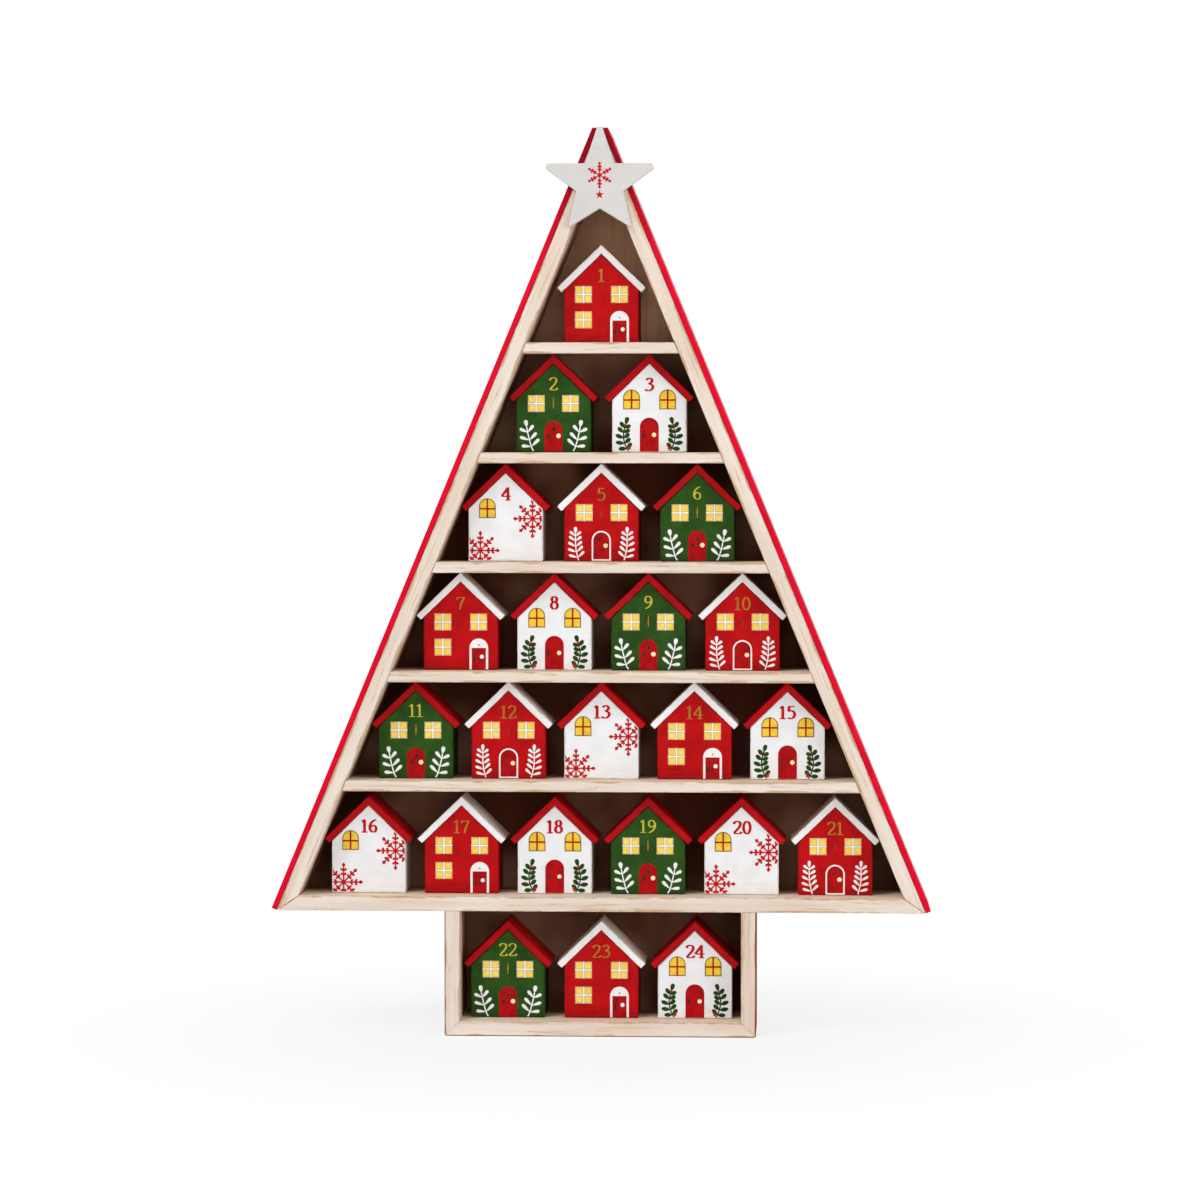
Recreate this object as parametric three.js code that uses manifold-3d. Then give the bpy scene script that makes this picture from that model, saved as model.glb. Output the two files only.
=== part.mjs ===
// A tabletop advent calendar shaped like a fir tree. Two leaning side boards, a base board and five
// shelves carry 24 little wooden houses, each a hollow box that pulls out at the front. The square
// box under the base board is the trunk, and it holds the last three houses. A star hides the peak.
// Millimetres, +Z up. The front faces -Y. The origin is the middle of the whole depth and width, on
// the surface that the trunk stands on.

import * as THREE from "three";
import { mergeVertices } from "three/addons/utils/BufferGeometryUtils.js";
import Module from "manifold-3d";

const wasm = await Module();
wasm.setup();

const DEGREE = Math.PI / 180;

// Houses: a tray with a gabled front board, and a roof of two boards mitred at the ridge
const HOUSE_WIDTH = 49.5;
const HOUSE_WALL_HEIGHT = 34.7;
const HOUSE_DEPTH = 40;
const HOUSE_FRONT_THICKNESS = 4;
const HOUSE_WALL_THICKNESS = 3;
const HOUSE_FLOOR_THICKNESS = 3;
const HOUSE_CORNER_RADIUS = 0.8;
const ROOF_SLOPE = 44 * DEGREE;
const ROOF_THICKNESS = 4.3;
const ROOF_EDGE_RADIUS = 0.5;
const EAVE_OVERHANG = 1.8;
const GABLE_OVERHANG = 1;

// Boards of the tree
const SIDE_THICKNESS = 9.5;
const BASE_THICKNESS = 9.8;
const SHELF_THICKNESS = 7.15;
const COVER_THICKNESS = 3.6;
const BACK_THICKNESS = 3;
const BACK_INSET = 1;
const BACK_TOP_DROP = 8;
const PEAK_DROP = 2.4;

// Trunk
const TRUNK_WALL_THICKNESS = 10;
const TRUNK_FLOOR_THICKNESS = 10;
const TRUNK_CORNER_RADIUS = 1.6;

// Star: an upper point and two arms that are cut off short of where their sides meet, and two legs
const STAR_RADIUS = 42.3;
const STAR_TIP_CUT = 5.3;
const STAR_LEG_RADIUS = 36.5;
const STAR_WAIST_RADIUS = 16.4;
const STAR_TIP_RADIUS = 1;
const STAR_THICKNESS = 5;
const STAR_CHAMFER = 0.4;

// Fits and free spaces
const GLUE_LINE = 0.25;
const RUNNING_GAP = 0.3;
const HEADROOM = 0.3;
const BASE_ROW_HEADROOM = 4.6;
const TRUNK_HEADROOM = 8.1;
const EAVE_CLEARANCE = 0.6;
const TRUNK_EAVE_CLEARANCE = 1.45;
const LEAST_ROOF_GAP = 1.05;
const BASE_ROW_ROOF_GAP = 3.3;
const MOST_ROOF_GAP = 4.8;
const TRUNK_ROOF_GAP = 3.5;
const HOUSE_SETBACK = 18;
const REAR_GAP = 1;

// How many houses stand on each shelf, from the top, with the base board last
const SHELF_ROWS = [1, 2, 3, 4, 5, 6];
const TRUNK_HOUSES = 3;

// The paint scheme of each house, in the order of the days
const HOUSE_SCHEMES = "ABCDEBACBEBEDACDACBDEBAC";
const SCHEME_COLOURS = {
  A: { body: 0xc0171b, roof: 0xebebec },
  B: { body: 0x305824, roof: 0xbe1419 },
  C: { body: 0xebebec, roof: 0xbe1419 },
  D: { body: 0xebebec, roof: 0xbe1419 },
  E: { body: 0xc0171b, roof: 0xebebec },
};
const PINE = 0xe2d4c5;
const COVER_RED = 0xd00a28;
const BACK_BROWN = 0x6e5038;
const STAR_WHITE = 0xe6e6e3;

// House sizes that follow from the ones above
const roofRise = Math.tan(ROOF_SLOPE);
const gablePeak = HOUSE_WALL_HEIGHT + (HOUSE_WIDTH / 2) * roofRise;
const roofUndersidePeak = gablePeak + GLUE_LINE / Math.cos(ROOF_SLOPE);
const ridgeHeight = roofUndersidePeak + ROOF_THICKNESS / Math.cos(ROOF_SLOPE);
const eaveUndersideX = HOUSE_WIDTH / 2 + EAVE_OVERHANG;
const eaveUndersideZ = roofUndersidePeak - eaveUndersideX * roofRise;
const eaveTipX = eaveUndersideX + ROOF_THICKNESS * Math.sin(ROOF_SLOPE);
const eaveTipZ = eaveUndersideZ + ROOF_THICKNESS * Math.cos(ROOF_SLOPE);
const roofSpan = 2 * eaveTipX;
const standingHeight = RUNNING_GAP + ridgeHeight;

// Depths: the star stands proud of the boards' front edges, and the back panel closes the rear
const frameDepth = HOUSE_SETBACK + HOUSE_DEPTH + GABLE_OVERHANG + REAR_GAP;
const backFront = frameDepth + GLUE_LINE;
const overallDepth = STAR_THICKNESS + GLUE_LINE + backFront + BACK_THICKNESS;
const frontY = STAR_THICKNESS + GLUE_LINE - overallDepth / 2;

// Heights of the surfaces that the houses stand on
const baseBottom = TRUNK_FLOOR_THICKNESS + standingHeight + TRUNK_HEADROOM;
const baseTop = baseBottom + BASE_THICKNESS;
const lowestShelfTop = baseTop + standingHeight + BASE_ROW_HEADROOM + SHELF_THICKNESS;
const rowPitch = standingHeight + HEADROOM + SHELF_THICKNESS;
const shelfCount = SHELF_ROWS.length - 1;
const shelfTops = SHELF_ROWS.slice(0, -1).map((_, i) => lowestShelfTop + (shelfCount - 1 - i) * rowPitch);
const standTops = [...shelfTops, baseTop];

// The side boards lean in by half a house for each row, and the widest row sets where they start.
const leanRun = (roofSpan + LEAST_ROOF_GAP) / 2 / rowPitch;
const lean = Math.atan(leanRun);
const widestRow = SHELF_ROWS[SHELF_ROWS.length - 1];
const widestRowSpan = widestRow * roofSpan + (widestRow - 1) * BASE_ROW_ROOF_GAP;
const widestInnerX = widestRowSpan / 2 + EAVE_CLEARANCE;
const innerPeak = baseTop + RUNNING_GAP + eaveTipZ + widestInnerX / leanRun;
const outerPeak = innerPeak + SIDE_THICKNESS / Math.sin(lean);
const frameTop = outerPeak - PEAK_DROP;

// Distance from the middle plane to the side boards' slopes, and to slopes parallel to them
const slopeX = (z, offset = 0) => (outerPeak - z) * leanRun + offset / Math.cos(lean);
const innerX = (z, clearance = 0) => slopeX(z, -SIDE_THICKNESS - clearance);

const trunkHalfInside =
  (TRUNK_HOUSES * roofSpan + (TRUNK_HOUSES - 1) * TRUNK_ROOF_GAP) / 2 + TRUNK_EAVE_CLEARANCE;
const trunkHalfOutside = trunkHalfInside + TRUNK_WALL_THICKNESS;

function paint(color, roughness) {
  return new THREE.MeshStandardMaterial({ color, roughness, metalness: 0 });
}

function namedMesh(name, geometry, material) {
  const mesh = new THREE.Mesh(geometry, material);
  mesh.name = name;
  return mesh;
}

function shapeFrom(points) {
  return new THREE.Shape(points.map(([x, z]) => new THREE.Vector2(x, z)));
}

// An outline with each corner that has a radius rounded by an arc that touches both of its sides.
function roundedShape(corners) {
  const shape = new THREE.Shape();
  corners.forEach(([x, z, radius = 0], i) => {
    const corner = new THREE.Vector2(x, z);
    if (!radius) {
      if (i) shape.lineTo(x, z);
      else shape.moveTo(x, z);
      return;
    }
    const before = corners[(i + corners.length - 1) % corners.length];
    const after = corners[(i + 1) % corners.length];
    const toBefore = new THREE.Vector2(before[0] - x, before[1] - z).normalize();
    const toAfter = new THREE.Vector2(after[0] - x, after[1] - z).normalize();
    const halfAngle = Math.acos(THREE.MathUtils.clamp(toBefore.dot(toAfter), -1, 1)) / 2;
    const start = corner.clone().addScaledVector(toBefore, radius / Math.tan(halfAngle));
    const end = corner.clone().addScaledVector(toAfter, radius / Math.tan(halfAngle));
    const inward = toBefore.clone().add(toAfter).normalize();
    const centre = corner.clone().addScaledVector(inward, radius / Math.sin(halfAngle));
    const turnsLeft = toBefore.cross(toAfter) < 0;
    const angleOf = (p) => Math.atan2(p.y - centre.y, p.x - centre.x);
    if (i) shape.lineTo(start.x, start.y);
    else shape.moveTo(start.x, start.y);
    shape.absarc(centre.x, centre.y, radius, angleOf(start), angleOf(end), !turnsLeft);
  });
  shape.closePath();
  return shape;
}

// A board whose outline is drawn as seen from the front, from depth y0 back to depth y1.
function board(shape, y0, y1, options = {}) {
  const geometry = new THREE.ExtrudeGeometry(shape, {
    depth: y1 - y0,
    bevelEnabled: false,
    curveSegments: 3,
    ...options,
  });
  geometry.rotateX(Math.PI / 2);
  geometry.translate(0, y1, 0);
  return geometry;
}

function solidOf(geometry) {
  const bare = geometry.clone();
  bare.deleteAttribute("normal");
  bare.deleteAttribute("uv");
  const merged = mergeVertices(bare, 1e-4);
  const vertProperties = merged.attributes.position.array;
  const triVerts = new Uint32Array(merged.index.array);
  return new wasm.Manifold(new wasm.Mesh({ numProp: 3, vertProperties, triVerts }));
}

function geometryOf(solid) {
  const mesh = solid.getMesh();
  const geometry = new THREE.BufferGeometry();
  geometry.setAttribute("position", new THREE.BufferAttribute(mesh.vertProperties, 3));
  geometry.setIndex(new THREE.BufferAttribute(mesh.triVerts, 1));
  geometry.computeVertexNormals();
  return geometry;
}

// The tray of a house: gabled front board, floor and two walls whose tops are bevelled to the roof.
// It is open at the back, where a treat goes in, and under the roof.
function houseBodyGeometry() {
  const half = HOUSE_WIDTH / 2;
  const gable = roundedShape([
    [-half, 0, HOUSE_CORNER_RADIUS],
    [half, 0, HOUSE_CORNER_RADIUS],
    [half, HOUSE_WALL_HEIGHT],
    [0, gablePeak],
    [-half, HOUSE_WALL_HEIGHT],
  ]);
  const halfInside = half - HOUSE_WALL_THICKNESS;
  const beyond = HOUSE_DEPTH + gablePeak;
  const inside = shapeFrom([
    [-halfInside, HOUSE_FLOOR_THICKNESS],
    [halfInside, HOUSE_FLOOR_THICKNESS],
    [halfInside, beyond],
    [-halfInside, beyond],
  ]);
  const block = solidOf(board(gable, 0, HOUSE_DEPTH));
  const hollow = solidOf(board(inside, HOUSE_FRONT_THICKNESS, beyond));
  return geometryOf(block.subtract(hollow));
}

// The roof: two boards mitred at the ridge, their lower ends cut square to the slope.
function houseRoofGeometry() {
  const roof = roundedShape([
    [eaveUndersideX, eaveUndersideZ],
    [eaveTipX, eaveTipZ, ROOF_EDGE_RADIUS],
    [0, ridgeHeight],
    [-eaveTipX, eaveTipZ, ROOF_EDGE_RADIUS],
    [-eaveUndersideX, eaveUndersideZ],
    [0, roofUndersidePeak],
  ]);
  return board(roof, -GABLE_OVERHANG, HOUSE_DEPTH + GABLE_OVERHANG);
}

function house(day) {
  const colours = SCHEME_COLOURS[HOUSE_SCHEMES[day - 1]];
  const name = "house_" + String(day).padStart(2, "0");
  const group = new THREE.Group();
  group.add(namedMesh(name + "_body", houseBodyGeometry(), paint(colours.body, 0.6)));
  group.add(namedMesh(name + "_roof", houseRoofGeometry(), paint(colours.roof, 0.55)));
  return group;
}

// A row of houses, spread evenly about the middle plane and standing a running gap clear.
function houseRow(firstDay, count, standTop, roofGap) {
  const row = new THREE.Group();
  const pitch = roofSpan + roofGap;
  for (let i = 0; i < count; i++) {
    const one = house(firstDay + i);
    one.position.x = (i - (count - 1) / 2) * pitch;
    row.add(one);
  }
  row.position.set(0, frontY + HOUSE_SETBACK, standTop + RUNNING_GAP);
  return row;
}

// The gap between the roofs of a row is as wide as the side boards allow, up to a limit.
function roofGapFor(count, standTop) {
  if (count < 2) return 0;
  const room = 2 * (innerX(standTop + RUNNING_GAP + eaveTipZ) - EAVE_CLEARANCE);
  return Math.min(MOST_ROOF_GAP, (room - count * roofSpan) / (count - 1));
}

// A side board stands between the mitre at the base board and the cut at the peak.
// side is 1 on the right and -1 on the left.
function sideBoard(side) {
  const middle = GLUE_LINE / 2;
  const innerMeeting = outerPeak - (SIDE_THICKNESS / Math.cos(lean) + middle) / leanRun;
  const outline = shapeFrom([
    [side * slopeX(baseBottom), baseBottom],
    [side * slopeX(frameTop), frameTop],
    [side * middle, frameTop],
    [side * middle, innerMeeting],
    [side * innerX(baseTop), baseTop],
  ]);
  const name = side > 0 ? "side_board_right" : "side_board_left";
  return namedMesh(name, board(outline, frontY, frontY + frameDepth), paint(PINE, 0.7));
}

// A thin painted board covers the outer face of each side board. Its lower end is cut square.
function coverBoard(side) {
  const cornerX = slopeX(baseBottom);
  const near = GLUE_LINE;
  const far = GLUE_LINE + COVER_THICKNESS;
  const outline = shapeFrom([
    [side * (cornerX + near * Math.cos(lean)), baseBottom + near * Math.sin(lean)],
    [side * (cornerX + far * Math.cos(lean)), baseBottom + far * Math.sin(lean)],
    [side * slopeX(frameTop, far), frameTop],
    [side * slopeX(frameTop, near), frameTop],
  ]);
  const name = side > 0 ? "cover_board_right" : "cover_board_left";
  const rearY = frontY + backFront + BACK_THICKNESS;
  return namedMesh(name, board(outline, frontY, rearY), paint(COVER_RED, 0.5));
}

// A shelf's ends are bevelled to the slope of the side boards.
function shelf(name, top) {
  const bottom = top - SHELF_THICKNESS;
  const outline = shapeFrom([
    [-innerX(bottom, GLUE_LINE), bottom],
    [innerX(bottom, GLUE_LINE), bottom],
    [innerX(top, GLUE_LINE), top],
    [-innerX(top, GLUE_LINE), top],
  ]);
  return namedMesh(name, board(outline, frontY, frontY + frameDepth), paint(PINE, 0.7));
}

// The base board, mitred to the side boards, and the trunk's walls and floor glued under it.
function baseAndTrunk() {
  const mitreRun = slopeX(baseBottom) - innerX(baseTop);
  const mitreGap = (GLUE_LINE * Math.hypot(mitreRun, BASE_THICKNESS)) / BASE_THICKNESS;
  const lowerX = slopeX(baseBottom) - mitreGap;
  const upperX = innerX(baseTop) - mitreGap;
  const outline = roundedShape([
    [-trunkHalfOutside, 0, TRUNK_CORNER_RADIUS],
    [trunkHalfOutside, 0, TRUNK_CORNER_RADIUS],
    [trunkHalfOutside, baseBottom],
    [lowerX, baseBottom],
    [upperX, baseTop],
    [-upperX, baseTop],
    [-lowerX, baseBottom],
    [-trunkHalfOutside, baseBottom],
  ]);
  const inside = shapeFrom([
    [-trunkHalfInside, TRUNK_FLOOR_THICKNESS],
    [-trunkHalfInside, baseBottom],
    [trunkHalfInside, baseBottom],
    [trunkHalfInside, TRUNK_FLOOR_THICKNESS],
  ]);
  outline.holes.push(inside);
  return namedMesh("base_and_trunk", board(outline, frontY, frontY + frameDepth), paint(PINE, 0.7));
}

// The back panel covers the rear edges of all the boards, a little smaller than their outline.
function backPanel() {
  const panelTop = frameTop - BACK_TOP_DROP;
  const wingBottom = baseBottom + BACK_INSET;
  const trunkX = trunkHalfOutside - BACK_INSET;
  const outline = shapeFrom([
    [-trunkX, BACK_INSET],
    [trunkX, BACK_INSET],
    [trunkX, wingBottom],
    [slopeX(wingBottom, -BACK_INSET), wingBottom],
    [slopeX(panelTop, -BACK_INSET), panelTop],
    [-slopeX(panelTop, -BACK_INSET), panelTop],
    [-slopeX(wingBottom, -BACK_INSET), wingBottom],
    [-trunkX, wingBottom],
  ]);
  const near = frontY + backFront;
  return namedMesh("back_panel", board(outline, near, near + BACK_THICKNESS), paint(BACK_BROWN, 0.8));
}

// A five-pointed star on the front edges at the peak, its upper point level with the frame's top.
function star() {
  const points = 5;
  const halfStep = Math.PI / points;
  const waistX = STAR_WAIST_RADIUS * Math.cos(halfStep);
  const waistY = STAR_WAIST_RADIUS * Math.sin(halfStep);
  const tipReach = STAR_RADIUS - STAR_TIP_CUT;
  const tipHalfWidth = (STAR_TIP_CUT * waistY) / (STAR_RADIUS - waistX);
  const cutTip = [
    [tipReach, -tipHalfWidth, STAR_TIP_RADIUS],
    [tipReach, tipHalfWidth, STAR_TIP_RADIUS],
  ];
  const legTip = [[STAR_LEG_RADIUS, 0, STAR_TIP_RADIUS]];
  const corners = [];
  [cutTip, cutTip, legTip, legTip, cutTip].forEach((tip, i) => {
    const angle = Math.PI / 2 + 2 * i * halfStep;
    for (const [x, y, radius] of [...tip, [waistX, waistY, 0]]) {
      const corner = new THREE.Vector2(x, y).rotateAround(new THREE.Vector2(), angle);
      corners.push([corner.x, corner.y, radius]);
    }
  });
  const geometry = board(roundedShape(corners), 0, STAR_THICKNESS - 2 * STAR_CHAMFER, {
    bevelEnabled: true,
    bevelThickness: STAR_CHAMFER,
    bevelSize: STAR_CHAMFER,
    bevelOffset: -STAR_CHAMFER,
    bevelSegments: 1,
  });
  const mesh = namedMesh("star", geometry, paint(STAR_WHITE, 0.6));
  mesh.position.set(0, frontY - GLUE_LINE - STAR_THICKNESS + STAR_CHAMFER, frameTop - tipReach);
  return mesh;
}

const calendar = new THREE.Group();
calendar.add(sideBoard(-1), sideBoard(1), coverBoard(-1), coverBoard(1));
calendar.add(baseAndTrunk(), backPanel(), star());
shelfTops.forEach((top, i) => calendar.add(shelf("shelf_" + (i + 1), top)));

let day = 1;
SHELF_ROWS.forEach((count, i) => {
  calendar.add(houseRow(day, count, standTops[i], roofGapFor(count, standTops[i])));
  day += count;
});
calendar.add(houseRow(day, TRUNK_HOUSES, TRUNK_FLOOR_THICKNESS, TRUNK_ROOF_GAP));

export default calendar;
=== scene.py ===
"""Looks of a wooden tree-shaped advent calendar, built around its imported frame.

The frame gives every board and house. This script gives them bevels and procedural materials, and
adds what is painted on the house fronts: windows, doors, sprigs, snowflakes and the day numbers,
each a thin raised coat on the front it belongs to. Lengths are in millimetres where no comment
says metres.
"""

import math
from functools import partialmethod

import bmesh
import bpy
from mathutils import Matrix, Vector
from mathutils.geometry import delaunay_2d_cdt


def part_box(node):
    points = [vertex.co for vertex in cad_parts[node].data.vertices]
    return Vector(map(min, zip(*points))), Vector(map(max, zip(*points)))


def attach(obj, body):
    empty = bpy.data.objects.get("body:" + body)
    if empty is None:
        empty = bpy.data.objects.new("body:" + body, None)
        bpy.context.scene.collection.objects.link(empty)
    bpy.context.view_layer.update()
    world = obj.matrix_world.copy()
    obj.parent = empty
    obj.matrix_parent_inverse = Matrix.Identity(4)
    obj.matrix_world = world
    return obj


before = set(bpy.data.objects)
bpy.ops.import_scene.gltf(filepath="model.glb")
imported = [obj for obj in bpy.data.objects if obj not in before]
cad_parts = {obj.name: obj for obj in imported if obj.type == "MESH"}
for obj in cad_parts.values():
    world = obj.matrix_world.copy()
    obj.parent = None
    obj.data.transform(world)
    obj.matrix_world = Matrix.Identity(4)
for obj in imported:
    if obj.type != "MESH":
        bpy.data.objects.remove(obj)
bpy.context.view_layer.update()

MM = 0.001  # metres
TO_MM = 1000
UPRIGHT = math.pi / 2  # the turn of upright grain

# The frame, as far as the materials need it
FRONT = TO_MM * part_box("side_board_left")[0].y
BACK_REAR = TO_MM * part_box("back_panel")[1].y
TRUNK_TOP = TO_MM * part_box("side_board_left")[0].z
BASE_TOP = TO_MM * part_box("base_and_trunk")[1].z
SIDE_SLOPE = 0.4136  # how far a side board comes in for each millimetre up
LEAN = math.atan(SIDE_SLOPE)
SIDE_THICKNESS = 9.5
SHELVES = range(1, 6)
SHELF_THICKNESS = 7.15
TRUNK_OUTSIDE = 103.56  # from the middle to a trunk wall's outer face
TRUNK_BOARD = 10

# Where the frame's stain, paint, painted light and painted shade begin, change and end
# The brown inside is part stain and part painted shade that grows deeper in
INSIDE_SHADE_START, INSIDE_SHADE_FULL = 4, 34  # how far behind the front edges the brown begins and is full
TOP_SHADE_DELAY = 18  # how much further back a board's top, painted lighter, takes the brown
TRUNK_BORDER = 0.7  # how wide the red of the outside shows round the front
RED_SETBACK = 0.4  # how far from the trunk's front and top its red stays
BACK_LIGHT_FROM, BACK_LIGHT_FULL = 430, 490  # heights between which the back panel's painted light grows
BACK_LIGHT_REACH = 28  # its painted light grows to the right over this much on each side of the middle
COVER_SHADE_FROM, COVER_SHADE_FULL = 500, 580  # heights between which painted shade darkens the red boards
ROOF_DEPTH_LIGHT_FROM, ROOF_DEPTH_LIGHT_FULL = 1, 24  # how far behind a roof's front its painted shade and bounce light begin and are full
WALL_DEPTH_SHADE_FROM, WALL_DEPTH_SHADE_FULL = 0.5, 9  # the same for the painted shade on a house's side walls

# How deep a face's own look reaches into its board, so that the face is wholly within it
FACE_SKIN = 0.6
TRUNK_SKIN = 0.2
TRUNK_EDGE_SKIN = 0.8
PLAY = 0.1
INSIDE_PLAY = 0.15

# The houses
HOUSE_HALF = 24.75
WALL_HEIGHT = 34.7
HOUSE_WALL = 3
HOUSE_FRONT_BOARD = 4
GABLE_HEIGHT = 58.6
SCHEMES = "ABCDEBACBEBEDACDACBDEBAC"  # the kind of house, by day
WALLS = {"A": "red", "B": "green", "C": "white", "D": "white", "E": "red"}
ROOFS = {"A": "white", "B": "red", "C": "red", "D": "red", "E": "white"}

# Rounding of sharp edges
WELD_DISTANCE = 1e-6  # metres
FLAT_ANGLE = math.radians(0.4)  # faces that meet at less are joined
BOARD_BEVEL = 0.2
COVER_BEVEL = 0.3
TRUNK_BEVEL = 0.35
BACK_BEVEL = 0.3
HOUSE_BEVEL = 0.4

# How far a painted coat goes into its front board, and how far each coat stands proud of it
SUNK = 0.05
COAT = 0.1
SECOND_COAT = 0.17
THIRD_COAT = 0.26

# How rough each surface is, and how deep its relief
SPECULAR = 0.05
EDGE_ROUGH = 0.65
PINE_ROUGH, PINE_RELIEF = 0.62, 0.12
BACK_ROUGH, BACK_RELIEF = 0.7, 0.06
COVER_ROUGH, ROOF_ROUGH, STAR_ROUGH = 0.45, 0.52, 0.55
PAINT_RELIEF = 0.08
WALL_SMOOTHEST, WALL_ROUGHEST, WALL_RELIEF = 0.5, 0.64, 0.07
COAT_ROUGH, GLOSSY_ROUGH, KNOB_ROUGH = 0.5, 0.4, 0.35
COAT_RELIEF = 0.05


def srgb(red, green, blue):
    """A colour as it shows on screen, 0 to 255, as Blender's linear RGBA."""

    def linear(value):
        value /= 255
        return value / 12.92 if value <= 0.04045 else ((value + 0.055) / 1.055) ** 2.4

    return (linear(red), linear(green), linear(blue), 1)


def darker(colour, share):
    """A colour with that share of its light."""
    return (*(channel * share for channel in colour[:3]), 1)


# Paints
PINE_LIGHT = srgb(233, 220, 207)
PINE_MID = srgb(222, 203, 186)
PINE_STREAK = srgb(190, 155, 122)
PINE_WORN = srgb(190, 150, 112)
PINE_RAW = srgb(214, 178, 136)
# The brown that the inside turns to: part stain, part painted shade deep in the compartments
INSIDE_BROWN_AND_SHADE = srgb(182, 136, 104)
INSIDE_BROWN_AND_SHADE_DARK = srgb(138, 92, 68)
BACK_CLOUD_PALE = srgb(180, 138, 110)
BACK_DARK = srgb(80, 40, 26)
# Painted light on the back panel near the top
BACK_PAINTED_LIGHT = srgb(230, 184, 144)
BACK_PLAIN = srgb(172, 130, 98)
GRAIN_BROWN = srgb(150, 108, 80)
GRAIN_DARK = srgb(100, 60, 42)
# Painted light on the tops of the boards inside, as where more light falls
TOP_PAINTED_LIGHT = srgb(251, 230, 203)
COVER_RED = srgb(226, 8, 44)
TRUNK_RED = srgb(150, 34, 34)
TRUNK_DARK = darker(TRUNK_RED, 0.6)
STAR_WHITE = srgb(210, 207, 204)
WALL_PAINT = {"red": srgb(190, 14, 20), "green": srgb(46, 82, 28), "white": srgb(236, 237, 239)}
WALL_SHADE = {"red": srgb(160, 14, 16), "green": srgb(34, 62, 22), "white": srgb(227, 227, 228)}
WALL_WORN = {"red": srgb(100, 16, 12), "green": srgb(30, 38, 16), "white": srgb(196, 184, 170)}
# Painted shade on a house's side walls, deep in its compartment
WALL_PAINTED_DEPTH_SHADE = {"red": srgb(130, 12, 13), "green": srgb(30, 56, 20), "white": srgb(204, 180, 170)}
WALL_FOOT_DARK = {"red": 0.45, "green": 0.4, "white": 0.16}  # the share of the worn colour that darkens a wall towards its foot
WALL_FOOT_DARK_HEIGHT = 9
RIM_WIDTH = 1.3  # how far in from its edges a board's front darkens or a wall is worn
ROOF_PAINT = {"red": srgb(186, 14, 20), "white": srgb(242, 241, 242)}
ROOF_SHADE = {"red": srgb(150, 14, 18), "white": srgb(230, 226, 223)}
ROOF_WORN = {"red": srgb(104, 16, 14), "white": srgb(190, 176, 162)}
# Painted shade and warm bounce light deep in a roof's compartment
ROOF_PAINTED_DEPTH_LIGHT = {"red": srgb(176, 18, 17), "white": srgb(250, 232, 220)}
PANE_WARM = srgb(238, 202, 84)
PANE_LIGHT = srgb(247, 224, 122)
# Coats: name, colour, its uneven places' share of the light, and roughness if not plain
COAT_PAINTS = {
    "lemon": ("pane_lemon", srgb(240, 204, 62), 0.8, GLOSSY_ROUGH),
    # A darker line of painted shade round the panes' edges
    "amber": ("pane_amber", srgb(196, 146, 56), 0.7, GLOSSY_ROUGH),
    "white": ("trim_white", srgb(240, 240, 239), 0.88),
    "red": ("trim_red", srgb(192, 18, 26), 0.75),
    "bar": ("window_bar", srgb(170, 28, 32), 0.6),
    "brown": ("trim_brown", srgb(128, 66, 38), 0.6),
    "door": ("door_red", srgb(176, 14, 20), 0.65),
    "knob": ("knob_cream", srgb(246, 236, 180), 0.8, KNOB_ROUGH),
    "gold_on_red": ("gold_on_red", srgb(180, 130, 48), 0.65, GLOSSY_ROUGH),
    "gold_on_green": ("gold_on_green", srgb(202, 190, 64), 0.7, GLOSSY_ROUGH),
    "green": ("sprig_green", srgb(36, 70, 18), 0.6),
    "stem": ("sprig_stem", srgb(58, 44, 26), 0.6),
    "speck": ("speck_green", srgb(34, 54, 26), 0.5),
    "berry": ("berry_red", srgb(204, 30, 30), 0.7, GLOSSY_ROUGH),
    "motif": ("motif_red", srgb(196, 18, 30), 0.75),
}


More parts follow.
